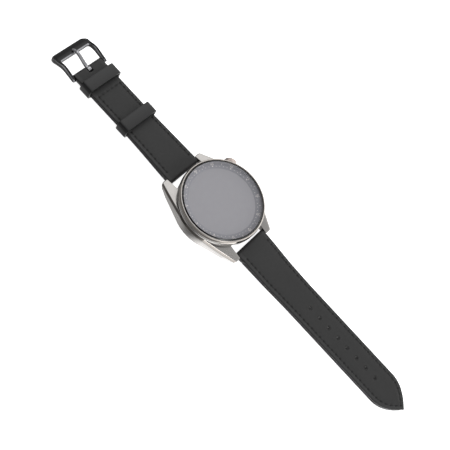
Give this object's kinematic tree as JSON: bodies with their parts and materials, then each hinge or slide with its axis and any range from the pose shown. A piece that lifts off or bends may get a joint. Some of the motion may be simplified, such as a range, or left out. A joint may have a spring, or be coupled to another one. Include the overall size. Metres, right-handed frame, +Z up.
{
  "type": "smartwatch",
  "caption": "Round smartwatch: metal case with drooping lugs, flat glass over a minute ring, side crown and button, leather strap halves with a pin buckle.",
  "frame": {"origin": "middle of the flat window in the case back, which the watch rests on", "axes": "+X to 3 o'clock, +Y to 12 o'clock and along the buckle half of the strap, +Z up through the dial"},
  "size_m": [0.0501, 0.2645, 0.0139],
  "materials": {
    "titanium": "brushed titanium",
    "polished_titanium": "polished titanium",
    "cover_glass": "clear, anti-smudge coated",
    "dial_print": "printed ring, semi gloss",
    "screen": "unlit screen",
    "seal": "moulded silicone",
    "inner_plastic": "glass-filled moulding",
    "circuit_board": "solder mask",
    "battery_foil": "laminate pouch",
    "steel": "turned steel",
    "copper": "enamelled copper coil",
    "dark_glass": "dark optical resin",
    "back_ceramic": "black ceramic",
    "strap_leather": "fine smooth calf, satin",
    "strap_lining": "matt lining leather",
    "black_steel": "polished black coating"
  },
  "bodies": {
    "case": {"mid_case": "titanium", "bezel_ring": "titanium", "cover_glass": "cover_glass", "minute_scale_ring": "dial_print", "glass_gasket": "seal", "display_panel": "screen", "inner_frame": "inner_plastic", "frame_screw_1": "steel", "frame_screw_2": "steel", "frame_screw_3": "steel", "frame_screw_4": "steel", "main_board": "circuit_board", "battery": "battery_foil", "vibration_motor": "steel", "speaker": "inner_plastic", "charging_coil": "copper", "sensor_board": "circuit_board", "sensor_window": "dark_glass", "rear_cover": "back_ceramic", "rear_gasket": "seal", "crown_tube": "steel", "button_switch": "inner_plastic"},
    "crown_slide": {"crown_collar": "steel"},
    "crown": {"crown_cap": "polished_titanium", "crown_stem": "steel", "crown_seal": "seal"},
    "side_button": {"button_cap": "titanium", "button_stem": "steel"},
    "upper_strap": {"upper_strap_leather": "strap_leather", "upper_strap_lining": "strap_lining", "fixed_keeper": "strap_leather", "upper_bar_tube": "steel", "buckle_bar": "black_steel"},
    "upper_release": {"upper_release_pin": "steel"},
    "keeper_slide": {"sliding_keeper": "strap_leather"},
    "buckle": {"buckle_frame": "black_steel"},
    "tongue": {"buckle_tongue": "black_steel"},
    "lower_strap": {"lower_strap_leather": "strap_leather", "lower_strap_lining": "strap_lining", "lower_bar_tube": "steel"},
    "lower_release": {"lower_release_pin": "steel"}
  },
  "joints": [
    {"name": "crown_press", "type": "slide", "parent": "case", "child": "crown_slide", "axis": [0.866, 0.5, 0], "range_m": [-0.0006, 0], "stiffness_N_per_m": 300, "springref_m": 0.0004},
    {"name": "crown_turn", "type": "hinge", "parent": "crown_slide", "child": "crown", "pos_m": [0.02312, 0.01335, 0.0074], "axis": [0.866, 0.5, 0], "continuous": true},
    {"name": "button_press", "type": "slide", "parent": "case", "child": "side_button", "axis": [0.866, -0.5, 0], "range_m": [-0.0004, 0], "stiffness_N_per_m": 400, "springref_m": 0.0003},
    {"name": "upper_strap_hinge", "type": "hinge", "parent": "case", "child": "upper_strap", "pos_m": [0, 0.0269, 0.0025], "axis": [1, 0, 0], "range_deg": [-85, 75]},
    {"name": "lower_strap_hinge", "type": "hinge", "parent": "case", "child": "lower_strap", "pos_m": [0, -0.0269, 0.0025], "axis": [-1, 0, 0], "range_deg": [-85, 75]},
    {"name": "upper_release_slide", "type": "slide", "parent": "upper_strap", "child": "upper_release", "axis": [-1, 0, 0], "range_m": [0, 0.0014], "stiffness_N_per_m": 150, "springref_m": -0.0008},
    {"name": "lower_release_slide", "type": "slide", "parent": "lower_strap", "child": "lower_release", "axis": [1, 0, 0], "range_m": [0, 0.0014], "stiffness_N_per_m": 150, "springref_m": -0.0008},
    {"name": "keeper_travel", "type": "slide", "parent": "upper_strap", "child": "keeper_slide", "axis": [0, 1, 0], "range_m": [-0.008, 0.021]},
    {"name": "buckle_swing", "type": "hinge", "parent": "upper_strap", "child": "buckle", "pos_m": [0, 0.101, 0.0029], "axis": [1, 0, 0], "range_deg": [-60, 60]},
    {"name": "tongue_swing", "type": "hinge", "parent": "buckle", "child": "tongue", "pos_m": [0, 0.101, 0.0029], "axis": [1, 0, 0], "range_deg": [0, 45]}
  ]
}
